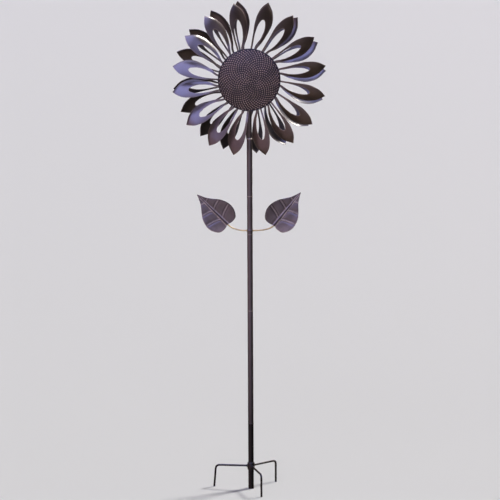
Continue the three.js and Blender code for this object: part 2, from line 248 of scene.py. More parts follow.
class Finishes:
    """The spinner's finishes, each built once."""

    def __init__(self) -> None:
        """Builds every material."""
        bronze = PowderCoat("bronze_powder_coat", "2c2425", "3b3031", "85756b")
        petal = PowderCoat("petal_powder_coat", "2b201c", "3d2e26", "97857d", roughness=0.33)
        # Rear petals: the petal coat painted darker, as painted shade behind the front wheel.
        rear = PowderCoat("rear_petal_shaded_coat", "100c0b", "17110e", "7d6c66", roughness=0.33)
        leaf = PowderCoat("leaf_powder_coat", "34282d", "4d3f47", "bfacb4", roughness=0.34, patch_size=0.03)
        seed = PowderCoat("seed_powder_coat", "171011", "22191a", "a88b86", roughness=0.44, sheen=0.85)
        # Leaf stems: cream and gold, a painted highlight of sun along the thin rods.
        stem = PowderCoat("stem_painted_highlight_coat", "8a7650", "b49c6c", "d8c08a")
        black = PowderCoat("black_powder_coat", "080808", "0d0c0c", "3a3634", 0.28, 0.25, gloss_coat=0.25)
        self.bronze_coat = bronze.material()
        self.petal_coat = petal.material()
        self.rear_shaded_coat = rear.material()
        self.leaf_coat = leaf.material()
        self.seed_coat = seed.material()
        self.stem_highlight_coat = stem.material()
        self.stake_coat = black.material()
        self.zinc_steel = PlatedSteel("zinc_plated_steel", "b9b7ae", "8e8c84", 0.34).material()
        self.bearing_steel = PlatedSteel("ground_bearing_steel", "c9c9c6", "a2a29f", 0.22).material()


# ------------------------------------------------------------------ mesh helpers


def spline(points: Profile, share: float) -> Vector:
    """Point on a smooth curve through points, with even steps from point to point.

    Args:
        points: the points that the curve passes.
        share: 0 at the first point and 1 at the last.

    Returns:
        The point, as a 2D vector.
    """
    last = len(points) - 1
    place = min(max(share, 0.0), 1.0) * last
    start = min(int(place), last - 1)
    t = place - start
    p0, p1, p2, p3 = (Vector(points[min(max(start + k, 0), last)]) for k in (-1, 0, 1, 2))
    v0 = (p2 - p0) / 2
    v1 = (p3 - p1) / 2
    return (2 * (p1 - p2) + v0 + v1) * t**3 + (3 * (p2 - p1) - 2 * v0 - v1) * t**2 + v0 * t + p1


def bell(offset: float) -> float:
    """Falls smoothly from 1 at no offset to almost nothing at two on either side."""
    return math.exp(-(offset**2))


def smooth_step(value: float, low: float, high: float) -> float:
    """Rises smoothly from 0 at low to 1 at high."""
    t = min(max((value - low) / (high - low), 0.0), 1.0)
    return t * t * (3 - 2 * t)


def bent(start: Vector, corner: Vector, end: Vector, t: float) -> Vector:
    """Point at t, from 0 to 1, on a bend that leaves start towards corner and comes from it to end."""
    return start * (1 - t) ** 2 + corner * 2 * t * (1 - t) + end * t**2


def tube(inner: float, outer: float, start: float, end: float) -> Profile:
    """Closed profile of a plain tube between two places along its axis."""
    return [(inner, start), (outer, start), (outer, end), (inner, end)]


def link(name: str, data: bpy.types.ID) -> bpy.types.Object:
    """Makes an object and adds it to the scene.

    Args:
        name: the object's name.
        data: its mesh, lamp or camera.

    Returns:
        The new object.
    """
    made = bpy.data.objects.new(name, data)
    bpy.context.scene.collection.objects.link(made)
    return made


def eased(profile: Profile, radius: float, steps: int = 3) -> list[tuple[float, float]]:
    """Rounds the corners of a closed profile.

    Args:
        profile: (radius, place) corners in order.
        radius: how far from each corner the rounding starts.
        steps: segments of each rounded corner.

    Returns:
        The profile with its corners rounded. Corners on the axis stay.
    """
    out: list[tuple[float, float]] = []
    for index, corner in enumerate(profile):
        here = Vector(corner)
        if here.x < 1e-6:
            out.append(corner)
            continue
        before = Vector(profile[index - 1]) - here
        after = Vector(profile[(index + 1) % len(profile)]) - here
        reach = min(radius, 0.45 * before.length, 0.45 * after.length)
        first = here + before.normalized() * reach
        second = here + after.normalized() * reach
        out += [tuple(bent(first, here, second, k / steps)) for k in range(steps + 1)]
    return out


def turn(bm: bmesh.types.BMesh, profile: Profile, centre: Vector, axis: Axis, steps: int = 64) -> list:
    """Spins a closed profile of (radius, place) about an axis through centre.

    Args:
        bm: the mesh to add to.
        profile: closed outline, as distance from the axis and place along it.
        centre: a point on the axis, from which places are counted.
        axis: the pole's or the axle's direction.
        steps: segments of the full turn.

    Returns:
        The new vertices.
    """
    known = set(bm.verts)
    along = Vector(axis.value)
    ring = [bm.verts.new(centre + Vector((radius, 0, 0)) + along * place) for radius, place in profile]
    edges = [bm.edges.new((ring[i - 1], ring[i])) for i in range(len(ring))]
    bmesh.ops.spin(
        bm,
        geom=ring + edges,
        cent=centre,
        axis=along,
        dvec=(0, 0, 0),
        angle=2 * math.pi,
        steps=steps,
        use_merge=True,
        use_duplicate=False,
    )
    made = [v for v in bm.verts if v not in known]
    bmesh.ops.remove_doubles(bm, verts=made, dist=1e-6)
    return [v for v in bm.verts if v not in known]


def frames_along(path: Sequence[Vector]) -> list[Matrix]:
    """Matrices that carry a flat ring to each point of a path, without twisting.

    Args:
        path: the points of the path.

    Returns:
        One matrix for each point, with +Z along the path.
    """
    frames = []
    turned = None
    for index, point in enumerate(path):
        ahead = path[min(index + 1, len(path) - 1)] - path[max(index - 1, 0)]
        tangent = ahead.normalized()
        if turned is None:
            turned = Vector((0, 0, 1)).rotation_difference(tangent)
        else:
            turned = (turned @ Vector((0, 0, 1))).rotation_difference(tangent) @ turned
        frames.append(Matrix.Translation(point) @ turned.to_matrix().to_4x4())
    return frames


def sweep(
    bm: bmesh.types.BMesh,
    path: Sequence[Vector],
    radius: float | Callable[[float], float],
    sides: int = 20,
) -> None:
    """Pulls a round section along a path by extruding it from point to point.

    Args:
        bm: the mesh to add to.
        path: the points of the path.
        radius: the section's radius, or its radius at each share of the path.
        sides: corners of the section.
    """
    size = radius if callable(radius) else (lambda share: radius)
    placed = [
        matrix @ Matrix.Scale(size(index / (len(path) - 1)), 4)
        for index, matrix in enumerate(frames_along(path))
    ]
    ring = bmesh.ops.create_circle(bm, cap_ends=True, radius=1.0, segments=sides, matrix=placed[0])
    face = ring["verts"][0].link_faces[0]
    for before, after in zip(placed, placed[1:]):
        pulled = bmesh.ops.extrude_face_region(bm, geom=[face])["geom"]
        verts = [g for g in pulled if isinstance(g, bmesh.types.BMVert)]
        bmesh.ops.transform(bm, matrix=after @ before.inverted(), verts=verts)
        face = next(g for g in pulled if isinstance(g, bmesh.types.BMFace))


def blunted(radius: float, lost: float, start: float) -> Callable[[float], float]:
    """Radius along a rod whose far end is rounded off.

    Args:
        radius: the rod's radius.
        lost: the share of it that the rounding takes at the end.
        start: the share of the length where the rounding starts.

    Returns:
        The radius at each share of the length.
    """
    return lambda share: radius * (1 - lost * smooth_step(share, start, 1.0))


class Drop:
    """A low round drop of unit radius that is copied many times: a weld dab or a seed."""

    def __init__(self, around: int, rings: int) -> None:
        """Makes the drop.

        Args:
            around: corners round its axis, which is Y.
            rings: rings from pole to pole.
        """
        bm = bmesh.new()
        upright = Matrix.Rotation(math.radians(90), 4, "X")
        bmesh.ops.create_uvsphere(bm, u_segments=around, v_segments=rings, radius=1.0, matrix=upright)
        self.mesh = bpy.data.meshes.new("drop")
        bm.to_mesh(self.mesh)
        bm.free()

    def add(self, bm: bmesh.types.BMesh, place: Matrix, size: Vector) -> None:
        """Adds one copy.

        Args:
            bm: the mesh to add to.
            place: where its middle lies and how it is turned.
            size: its half lengths.
        """
        copy = self.mesh.copy()
        copy.transform(place @ Matrix.Diagonal((*size, 1.0)))
        bm.from_mesh(copy)
        bpy.data.meshes.remove(copy)


WELD_RIPPLE = 0.16  # share of a weld bead's radius
WELD_DAB = Drop(around=10, rings=6)
SEED = Drop(around=8, rings=4)


def weld_ring(
    bm: bmesh.types.BMesh, centre: Vector, axis: Axis, radius: float, place: float, bead: float
) -> None:
    """Adds a weld run round a tube, with the ripples that a torch leaves.

    Args:
        bm: the mesh to add to.
        centre: a point on the tube's axis.
        axis: the tube's direction.
        radius: the tube's radius.
        place: where the weld is along the axis.
        bead: the bead's own radius.
    """
    corners = [math.tau * k / 8 for k in range(8)]
    circle = [(radius + bead * math.cos(a), place + bead * math.sin(a)) for a in corners]
    along = Vector(axis.value)
    middle = centre + along * place
    for vert in turn(bm, circle, centre, axis, steps=96):
        out = vert.co - middle
        flat = out - along * out.dot(along)
        angle = math.atan2(flat.z if axis is Axis.AXLE else flat.y, flat.x)
        ripple = 1 + WELD_RIPPLE * math.sin(32 * angle)
        core = middle + flat.normalized() * radius
        vert.co = core + (vert.co - core) * ripple


class Piece:
    """A mesh in the making, and how it is finished."""

    def __init__(self, name: str) -> None:
        """Starts an empty mesh.

        Args:
            name: the piece's name.
        """
        self.name = name
        self.bm = bmesh.new()
        self.wear_and_light = self.bm.verts.layers.float.new("wear_and_light")

    def put(
        self,
        body: str,
        slot: str,
        material: bpy.types.Material,
        nodes: Iterable[str] = (),
        sheet: float = 0.0,
        edge: float = 0.0,
        crease_deg: float = 38.0,
    ) -> bpy.types.Object:
        """Closes the mesh and puts the piece on its body.

        Args:
            body: the body that it rides on.
            slot: the record's material slot; not used.
            material: the finish.
            nodes: the CAD nodes that it stands for.
            sheet: thickness to give an open surface, or 0.
            edge: width of the rounding on the sheet's edges, or 0.
            crease_deg: edges sharper than this stay sharp.

        Returns:
            The finished object.
        """
        bm = self.bm
        bmesh.ops.remove_doubles(bm, verts=bm.verts[:], dist=1e-6)
        bmesh.ops.dissolve_degenerate(bm, dist=1e-7, edges=bm.edges[:])
        bmesh.ops.recalc_face_normals(bm, faces=bm.faces[:])
        for face in bm.faces:
            face.smooth = True
        for each in bm.edges:
            each.smooth = not (each.is_manifold and each.calc_face_angle(0.0) > math.radians(crease_deg))
        mesh = bpy.data.meshes.new(self.name)
        bm.to_mesh(mesh)
        bm.free()
        mesh.materials.append(material)
        made = link(self.name, mesh)
        if sheet:
            thick = made.modifiers.new("sheet", "SOLIDIFY")
            thick.thickness = sheet
            thick.offset = 0.0
        if edge:
            rounded = made.modifiers.new("edge", "BEVEL")
            rounded.width = edge
            rounded.segments = 2
            rounded.limit_method = "ANGLE"
            rounded.angle_limit = math.radians(50)
            rounded.harden_normals = True
        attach(made, body)
        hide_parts(*nodes)
        log.info("%s rides on %s, %d faces", self.name, body, len(mesh.polygons))
        return made


# ------------------------------------------------------------------ shared places


JOINTS = {joint["name"]: joint for joint in frame["joints"]}
AXLE_HEIGHT = JOINTS["front_spin"]["pos_m"][2]
AXLE = Vector((0.0, 0.0, AXLE_HEIGHT))
SHEET = 0.0012  # thickness of the petals, leaves and seed disc
SHEET_EDGE = 0.0003  # rounding on the sheet's cut edges
GAP = 0.0003  # left between pieces that touch
BALL_BEARING_BORE = 0.004  # radius of the axle that the bearings fit

# Degrees clockwise from the top: the first petal's even place, and each petal's listed turn from its own.
FRONT_TIP_DEG = 12.0
REAR_TIP_DEG = 17.1
FRONT_SETTINGS = (1.8, 0, 0, 0.5, 0.5, 1, -1.5, -1.5, 0, -3, -2.6, 1.5, -1.8, 0, -1.6, -0.6)
REAR_SETTINGS = (-2.5, -0.4, 1.2, 0.8, 0, 0, 0, 0, 3, 0.3, 1.4, -3, 2.5, -0.8, -1.6, -3)


def radius_of(node: str) -> float:
    """Half of a CAD node's width along X."""
    low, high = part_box(node)
    return (high.x - low.x) / 2


# ------------------------------------------------------------------ pole


@dataclass
class Pole:
    """Plug-together pole: a bottom post and four sections, each with a rolled rim at its top."""

    finishes: Finishes
    wall: float = 0.0015
    plug_length: float = 0.045
    plug_radius: float = 0.0092
    plug_chamfer: float = 0.0006
    plug_lead: float = 0.002
    shoulder_chamfer: float = 0.0004
    foot: float = 0.002
    foot_chamfer: float = 0.001
    rim_rise: float = 0.0007
    rim_length: float = 0.0045
    knot_rise: float = 0.0016
    knot_length: float = 0.009
    knot_height: float = 0.014
    support: float = 0.0006
    darkening: float = 0.7
    darkening_top: float = 0.75
    darkening_bottom: float = 0.15
    radius: float = field(default_factory=lambda: radius_of("pole_upper"))

    def rim(self, top: float) -> Profile:
        """Outer profile of a rolled rim, from below it to the bore's mouth.

        Args:
            top: height of the rim.

        Returns:
            The profile's corners.
        """
        r, rise, length = self.radius, self.rim_rise, self.rim_length
        return [
            (r, top - length - self.support),
            (r, top - length),
            (r + 0.75 * rise, top - 0.8 * length),
            (r + rise, top - 0.5 * length),
            (r + 0.75 * rise, top - 0.15 * length),
            (r, top),
            (r - self.wall, top),
        ]

    def section(self, name: str, middle: Profile = ()) -> None:
        """Builds one section with its plug below.

        Args:
            name: the CAD node that it stands for.
            middle: further profile corners between the plug and the rim.
        """
        low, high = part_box(name)
        start = low.z + self.plug_length
        bore = self.plug_radius - self.wall
        profile = [
            (bore, low.z),
            (self.plug_radius - self.plug_chamfer, low.z),
            (self.plug_radius, low.z + self.plug_lead),
            (self.plug_radius, start),
            (self.radius - self.shoulder_chamfer, start),
            (self.radius, start + self.shoulder_chamfer),
            *middle,
            *self.rim(high.z),
            (self.radius - self.wall, start + self.wall),
            (bore, start + self.wall),
        ]
        piece = Piece(name + "_tube")
        turn(piece.bm, profile, Vector(), Axis.POLE)
        self.mark_rim_and_foot(piece, high.z)
        piece.put("pole", "bronze_coat", self.finishes.bronze_coat, [name])

    def mark_rim_and_foot(self, piece: Piece, top: float) -> None:
        """Marks the rim's top paler, rubbed by fitting the next section and with a painted highlight, and
        darkens the pole towards the bottom.

        Args:
            piece: the section or the post.
            top: height of its rim.
        """
        for vert in piece.bm.verts:
            darkened = self.darkening * smooth_step(vert.co.z, self.darkening_top, self.darkening_bottom)
            # Rim top: rubbed paler and a painted highlight; lower down, darker towards the bottom.
            vert[piece.wear_and_light] = 0.9 if vert.co.z > top - 0.6 * self.rim_length else -darkened

    def post(self) -> None:
        """Builds the bottom post, closed at its foot."""
        low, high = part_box("stake_post")
        bore = self.radius - self.wall
        profile = [
            (0.0, low.z),
            (self.radius - self.foot_chamfer, low.z),
            (self.radius, low.z + self.foot_chamfer),
            *self.rim(high.z),
            (bore, low.z + self.foot),
            (0.0, low.z + self.foot),
        ]
        piece = Piece("stake_post_tube")
        turn(piece.bm, profile, Vector(), Axis.POLE)
        self.mark_rim_and_foot(piece, high.z)
        piece.put("pole", "stake_coat", self.finishes.stake_coat, ["stake_post"])

    def knot(self) -> Profile:
        """Profile of the ring of weld metal that the leaf stems stand on.

        Returns:
            The profile's corners, from below the ring to above it.
        """
        low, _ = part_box("leaf_section")
        middle = low.z + self.plug_length + self.knot_height
        half = self.knot_length / 2
        shares = [k / 8 for k in range(9)]
        rises = [self.knot_rise * math.sin(math.pi * share) ** 0.7 for share in shares]
        places = [middle - half + self.knot_length * share for share in shares]
        ring = [(self.radius + rise, place) for rise, place in zip(rises, places)]
        before = (self.radius, middle - half - self.support)
        after = (self.radius, middle + half + self.support)
        return [before, *ring, after]

    def build(self) -> None:
        """Builds the post and the sections."""
        self.post()
        for name in ("pole_lower", "pole_middle", "pole_upper"):
            self.section(name)
        self.section("leaf_section", self.knot())


# ------------------------------------------------------------------ stake


@dataclass
class Prong:
    """One bent rod of the stake."""

    name: str
    azimuth_deg: float
    splay_deg: float


@dataclass
class Stake:
    """Three bent prongs on a collar round the bottom post."""

    finishes: Finishes
    radius: float = 0.004
    height: float = 0.094
    reach: float = 0.146
    fall: float = 0.004
    bend: float = 0.016
    depth: float = 0.095
    collar_rise: float = 0.0035
    collar_chamfer: float = 0.0012
    collar_lead: float = 0.004
    collar_weld: float = 0.0016
    collar_weld_inset: float = 0.0006
    root_gap: float = 0.0004
    weld_lead: float = 0.0012
    weld_dabs: int = 9
    weld_size: Vector = field(default_factory=lambda: Vector((0.0022, 0.0022, 0.0017)))
    prongs: tuple[Prong, ...] = (
        Prong("prong_left", 166.3, 5.0),
        Prong("prong_right", 46.3, 0.0),
        Prong("prong_front", -73.7, 0.0),
    )

    def collar(self) -> None:
        """Builds the collar with the weld that holds it at each end."""
        low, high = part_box("prong_collar")
        inner = radius_of("stake_post") + GAP
        outer = inner + self.collar_rise
        profile = [
            (inner, low.z),
            (outer - self.collar_chamfer, low.z),
            (outer, low.z + self.collar_lead),
            (outer, high.z - self.collar_lead),
            (outer - self.collar_chamfer, high.z),
            (inner, high.z),
        ]
        piece = Piece("prong_collar_ring")
        turn(piece.bm, eased(profile, self.collar_chamfer), Vector(), Axis.POLE)
        for place in (low.z, high.z):
            weld_ring(piece.bm, Vector(), Axis.POLE, inner + self.collar_weld_inset, place, self.collar_weld)
        piece.put("pole", "stake_coat", self.finishes.stake_coat, ["prong_collar"])

    def path(self, prong: Prong) -> list[Vector]:
        """Centreline of a prong: an arm, a bend and a leg.

        Args:
            prong: which prong.

        Returns:
            The points of the line.
        """
        start = radius_of("stake_post") + self.collar_rise + self.root_gap
        root = Vector((start, 0, self.height))
        corner = Vector((self.reach, 0, self.height - self.fall))
        drop = corner.z + self.depth
        foot = Vector((self.reach + drop * math.tan(math.radians(prong.splay_deg)), 0, -self.depth))
        before = corner + (root - corner).normalized() * self.bend
        after = corner + (foot - corner).normalized() * self.bend
        line = [root.lerp(before, k / 6) for k in range(6)]
        line += [bent(before, corner, after, k / 12) for k in range(13)]
        line += [after.lerp(foot, k / 8) for k in range(1, 9)]
        turned = Matrix.Rotation(math.radians(prong.azimuth_deg), 4, "Z")
        return [turned @ point for point in line]

    def leg(self, prong: Prong) -> None:
        """Builds one prong and the weld at its root.

        Args:
            prong: which prong.
        """
        piece = Piece(prong.name + "_rod")
        path = self.path(prong)
        sweep(piece.bm, path, blunted(self.radius, 0.35, 0.985), sides=24)
        out = (path[1] - path[0]).normalized()
        facing = out.to_track_quat("Z", "Y").to_matrix().to_4x4()
        turned = Matrix.Translation(path[0] + out * self.weld_lead) @ facing
        for k in range(self.weld_dabs):
            around = math.tau * k / self.weld_dabs
            offset = Vector((math.cos(around), math.sin(around), 0)) * self.radius
            WELD_DAB.add(piece.bm, turned @ Matrix.Translation(offset), self.weld_size)
        piece.put("pole", "stake_coat", self.finishes.stake_coat, [prong.name])

    def build(self) -> None:
        """Builds the collar and the prongs."""
        self.collar()
        for prong in self.prongs:
            self.leg(prong)


# ------------------------------------------------------------------ leaves


@dataclass
class Vein:
    """A side vein: where it leaves the midrib, how far it runs forward and how far out, in metres."""

    start: float
    run: float
    reach: float


@dataclass
class Leaf:
    """Stamped leaf with a raised midrib and side veins, welded on a bent stem."""

    finishes: Finishes
    label: str
    side: int
    reach: float
    rise: float
    angle_deg: float
    length: float = 0.170
    half_width: float = 0.065
    cup: float = 0.009
    fold: float = 1.35
    stem_radius: float = 0.003
    overlap: float = 0.026
    root_gap: float = 0.0008
    root_weld: Vector = field(default_factory=lambda: Vector((0.0032, 0.0046, 0.0046)))
    side_weld: Vector = field(default_factory=lambda: Vector((0.0018, 0.0012, 0.0018)))
    side_weld_offset: float = 0.0024
    side_weld_rise: float = 0.0021
    rib_height: float = 0.0034
    rib_width: float = 0.0052
    vein_height: float = 0.0014
    vein_width: float = 0.0026
    pillow: float = 0.0019
    groove_shade: float = 1.3
    groove_share: float = 0.5
    flank_share: float = 1.15
    flank_width: float = 0.0022
    crease_shade: float = 1.1
    crease_share: float = 2.1
    crease_width: float = 0.0014
    outline: Profile = (
        (0, 0.06),
        (-0.024, 0.38),
        (0.02, 0.74),
        (0.235, 1),
        (0.5, 0.85),
        (0.78, 0.29),
        (1, 0.015),
    )
    veins: tuple[Vein, ...] = (
        Vein(0.023, 0.035, 0.066),
        Vein(0.074, 0.024, 0.050),
        Vein(0.120, 0.013, 0.024),
    )

    def place(self) -> Matrix:
        """Where the leaf stands.

        Returns:
            The matrix from the leaf's own axes (along, away, forward) to the frame.
        """
        angle = math.radians(self.angle_deg)
        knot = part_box("leaf_stem_" + self.label)[0].z + self.stem_radius
        along = Vector((self.side * math.cos(angle), 0, math.sin(angle)))
        forward = Vector((0, -1, 0))
        away = Vector((-math.sin(angle), 0, self.side * math.cos(angle)))
        base = Vector((self.side * self.reach, -(self.stem_radius + GAP + SHEET / 2), knot + self.rise))
        return Matrix.Translation(base) @ Matrix((along, away, forward)).transposed().to_4x4()

    def relief(self, along: float, away: float) -> tuple[float, float]:
        """Stamped height of the leaf at a point, and its painted highlight and shade.

        Args:
            along: distance from the base towards the tip.
            away: distance from the midrib.

        Returns:
            The height towards the viewer, and the tone: above 0 a painted highlight, below 0 painted shade.
        """
        out = abs(away)
        taper = 1 - 0.65 * smooth_step(along, 0.0, self.length)
        width = self.rib_width * taper
        height = self.rib_height * taper * bell(out / width)
        # Painted highlight along the midrib's flanks and, below, on the vein ridges.
        highlight_and_wear = 0.9 * bell((out - self.flank_share * width) / self.flank_width)
        nearest = 1.0
        for vein in self.veins:
            line = vein.start + vein.run * (min(out / vein.reach, 1.2)) ** 0.45
            distance = abs(along - line)
            nearest = min(nearest, distance)
            fade = 1 - smooth_step(out, 0.75 * vein.reach, 1.05 * vein.reach)
            ridge = bell(distance / self.vein_width) * fade * smooth_step(out, 0.0, 0.006)
            height += self.vein_height * ridge
            highlight_and_wear = max(highlight_and_wear, 0.7 * ridge)
        height += self.pillow * smooth_step(nearest, 0.0, 0.014) * smooth_step(out, 0.003, 0.018)
        # Painted shade down the midrib's middle and in creases beside the veins.
        groove = self.groove_shade * bell(out / (self.groove_share * width))
        crease = bell((nearest - self.crease_share * self.vein_width) / self.crease_width)
        crease *= self.crease_shade * smooth_step(out, 0.004, 0.012)
        return height, highlight_and_wear - max(groove, crease)

    def blade(self) -> None:
        """Builds the stamped leaf."""
        piece = Piece("leaf_blade_" + self.label)
        bmesh.ops.create_grid(piece.bm, x_segments=96, y_segments=64, size=1.0)
        place = self.place()
        for vert in piece.bm.verts:
            share = (vert.co.x + 1) / 2
            across = vert.co.y
            edge = spline(self.outline, share)
            reach = abs(across)
            along = self.length * ((1 - reach) * share**self.fold + reach * edge.x)
            away = self.half_width * edge.y * across
            height, highlight_and_wear = self.relief(along, away)
            rim = smooth_step(reach, 0.93, 1.0)
            forward = self.cup * (away / self.half_width) ** 2 + height * (1 - 0.6 * rim)
            # Painted light: the lower half is paler towards its edge and base, with a painted highlight
            # along its rim; the upper rim gets painted shade.
            lower = across * self.side < 0
            lower_lobe_light = 0.3 * smooth_step(reach, 0.2, 1.0) * smooth_step(share, 0.7, 0.2)
            vert[piece.wear_and_light] = max(highlight_and_wear, 0.75 * rim, lower_lobe_light + highlight_and_wear) if lower else 0.7 * highlight_and_wear - 0.8 * rim
            vert.co = place @ Vector((along, away, forward))
        piece.put(
            "pole",
            "leaf_coat",
            self.finishes.leaf_coat,
            ["leaf_" + self.label],
            sheet=SHEET,
            edge=SHEET_EDGE,
        )

    def stem(self) -> None:
        """Builds the bent stem with its welds at the pole and along the leaf."""
        angle = math.radians(self.angle_deg)
        low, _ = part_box("leaf_stem_" + self.label)
        knot = low.z + self.stem_radius
        direction = Vector((self.side * math.cos(angle), 0, math.sin(angle)))
        root = Vector((self.side * (radius_of("pole_upper") + self.root_gap), 0, knot))
        bend = Vector((self.side * (self.reach - self.rise / math.tan(angle)), 0, knot))
        base = Vector((self.side * self.reach, 0, knot + self.rise))
        path = [bent(root, bend, base, k / 24) for k in range(25)]
        path += [base + direction * self.overlap * k / 6 for k in range(1, 7)]
        piece = Piece("leaf_stem_rod_" + self.label)
        sweep(piece.bm, path, blunted(self.stem_radius, 0.4, 0.97), sides=20)
        WELD_DAB.add(piece.bm, Matrix.Translation(root), self.root_weld)
        for k in range(5):
            spot = base + direction * self.overlap * (0.15 + 0.18 * k)
            for flank in (-1, 1):
                offset = Vector((-direction.z, 0, direction.x)) * flank * self.side_weld_offset
                offset.y -= self.side_weld_rise
                WELD_DAB.add(piece.bm, Matrix.Translation(spot + offset), self.side_weld)
        # The whole stem takes the paler layer as well: painted highlight.
        for vert in piece.bm.verts:
            vert[piece.wear_and_light] = 1.0
        piece.put("pole", "bronze_coat", self.finishes.stem_highlight_coat, ["leaf_stem_" + self.label])

    def build(self) -> None:
        """Builds the leaf and its stem."""
        self.blade()
        self.stem()


# ------------------------------------------------------------------ head


@dataclass
class Head:
    """Stem that turns in the pole, with a cross boss that holds the axle, its spacers and its nuts."""

    finishes: Finishes
    radius: float = 0.0092
    wall: float = 0.0015
    plug_depth: float = 0.070
    plug_chamfer: float = 0.0006
    plug_lead: float = 0.001
    stem_drop: float = 0.0065
    stop_height: float = 0.004
    stop_overhang: float = 0.0006
    stop_rounding: float = 0.0011
    boss_radius: float = 0.011
    boss_length: float = 0.054
    weld_bead: float = 0.0017
    weld_ripple: float = 0.14
    boss_rounding: float = 0.0008
    spacer_rounding: float = 0.0006
    axle_radius: float = 0.004
    thread_pitch: float = 0.00125
    thread_depth: float = 0.0006
    thread_length: float = 0.0115
    thread_lead: float = 0.0004
    thread_runout: float = 0.001
    nut_flats: float = 0.013
    nut_clearance: float = 0.00025
    nut_rounding: float = 0.0002

    def stem(self) -> None:
        """Builds the stem tube, its boss and the weld between them."""
        low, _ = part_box("head_stem")
        inner = self.radius - self.wall
        top = AXLE_HEIGHT - self.stem_drop
        piece = Piece("head_stem_tube")
        profile = [
            (inner, low.z),
            (self.radius - self.plug_chamfer, low.z),
            (self.radius, low.z + self.plug_lead),
            (self.radius, top),
            (inner, top),
        ]
        turn(piece.bm, profile, Vector(), Axis.POLE)
        half = self.boss_length / 2
        bore = self.axle_radius + GAP
        boss = tube(bore, self.boss_radius, -half, half)
        turn(piece.bm, eased(boss, self.boss_rounding), AXLE, Axis.AXLE)
        seam = []
        for angle in (math.tau * k / 72 for k in range(73)):
            x, y = self.radius * math.cos(angle), self.radius * math.sin(angle)
            seam.append(Vector((x, y, AXLE_HEIGHT - math.sqrt(self.boss_radius**2 - x * x))))
        bead, ripple = self.weld_bead, self.weld_ripple
        sweep(piece.bm, seam, lambda share: bead * (1 + ripple * math.sin(24 * math.tau * share)), sides=10)
        piece.put("head", "bronze_coat", self.finishes.bronze_coat, ["head_stem"])

    def stop_ring(self) -> None:
        """Builds the plated ring that the head turns on, over the pole's rim."""
        low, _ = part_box("head_stem")
        start = low.z + self.plug_depth + GAP
        outer = radius_of("pole_upper") + self.stop_overhang
        ring = tube(self.radius, outer, start, start + self.stop_height)
        piece = Piece("swivel_stop_ring")
        turn(piece.bm, eased(ring, self.stop_rounding, 5), Vector(), Axis.POLE)
        piece.put("head", "zinc_steel", self.finishes.zinc_steel)

    def axle(self) -> None:
        """Builds the axle with a thread at each end."""
        low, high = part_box("axle")
        half = (high.y - low.y) / 2
        r, depth = self.axle_radius, self.thread_depth
        teeth = int(self.thread_length / self.thread_pitch)
        side = [(0.0, half), (r - depth, half)]
        for k in range(teeth):
            place = half - self.thread_lead - k * self.thread_pitch
            side += [(r - depth, place), (r, place - self.thread_pitch / 2)]
        side.append((r, half - self.thread_length - self.thread_runout))
        profile = side + [(radius, -place) for radius, place in reversed(side)]
        piece = Piece("axle_rod")
        turn(piece.bm, profile, AXLE, Axis.AXLE, steps=48)
        piece.put("head", "zinc_steel", self.finishes.zinc_steel, ["axle"], crease_deg=25)

    def spacer(self, side: Side) -> None:
        """Builds one spacer tube on the axle.

        Args:
            side: the wheel that it keeps off the boss.
        """
        name = side.name.lower() + "_spacer"
        low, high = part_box(name)
        inner = self.axle_radius + GAP
        ring = tube(inner, radius_of(name), low.y, high.y)
        piece = Piece(name + "_tube")
        turn(piece.bm, eased(ring, self.spacer_rounding), AXLE, Axis.AXLE, steps=48)
        piece.put("head", "zinc_steel", self.finishes.zinc_steel, [name])

    def nut(self, side: Side) -> None:
        """Builds one hexagon nut with chamfered corners.

        Args:
            side: the end of the axle that it is on.
        """
        name = side.name.lower() + "_nut"
        low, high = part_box(name)
        piece = Piece(name + "_hex")
        bm = piece.bm
        upright = Matrix.Rotation(math.radians(90), 4, "X")
        start = Matrix.Translation(AXLE + Vector((0, low.y, 0))) @ upright
        corner = self.nut_flats / math.sqrt(3)
        hexagon = bmesh.ops.create_circle(bm, radius=corner, segments=6, matrix=start)
        rim = list({e for v in hexagon["verts"] for e in v.link_edges})
        cut = bmesh.ops.subdivide_edges(bm, edges=rim, cuts=5)
        outer = [g for g in cut["geom"] if isinstance(g, bmesh.types.BMEdge)]
        clear = self.axle_radius + self.nut_clearance
        bore = bmesh.ops.create_circle(bm, radius=clear, segments=36, matrix=start)
        inner = list({e for v in bore["verts"] for e in v.link_edges})
        bmesh.ops.bridge_loops(bm, edges=list(set(outer)) + inner)
        pulled = bmesh.ops.extrude_face_region(bm, geom=bm.faces[:])
        moved = [g for g in pulled["geom"] if isinstance(g, bmesh.types.BMVert)]
        bmesh.ops.translate(bm, verts=moved, vec=(0, high.y - low.y, 0))
        for vert in bm.verts:
            flat = Vector((vert.co.x, 0, vert.co.z - AXLE_HEIGHT))
            chamfer = max(0.0, flat.length - self.nut_flats / 2) * math.tan(math.radians(30))
            vert.co.y += chamfer if vert.co.y < (low.y + high.y) / 2 else -chamfer
        coat, edge = self.finishes.zinc_steel, self.nut_rounding
        piece.put("head", "zinc_steel", coat, [name], edge=edge, crease_deg=30)

    def build(self) -> None:
        """Builds the stem, the stop ring and what is on the axle."""
        self.stem()
        self.stop_ring()
        self.axle()
        for side in Side:
            self.spacer(side)
            self.nut(side)


# ------------------------------------------------------------------ wheels


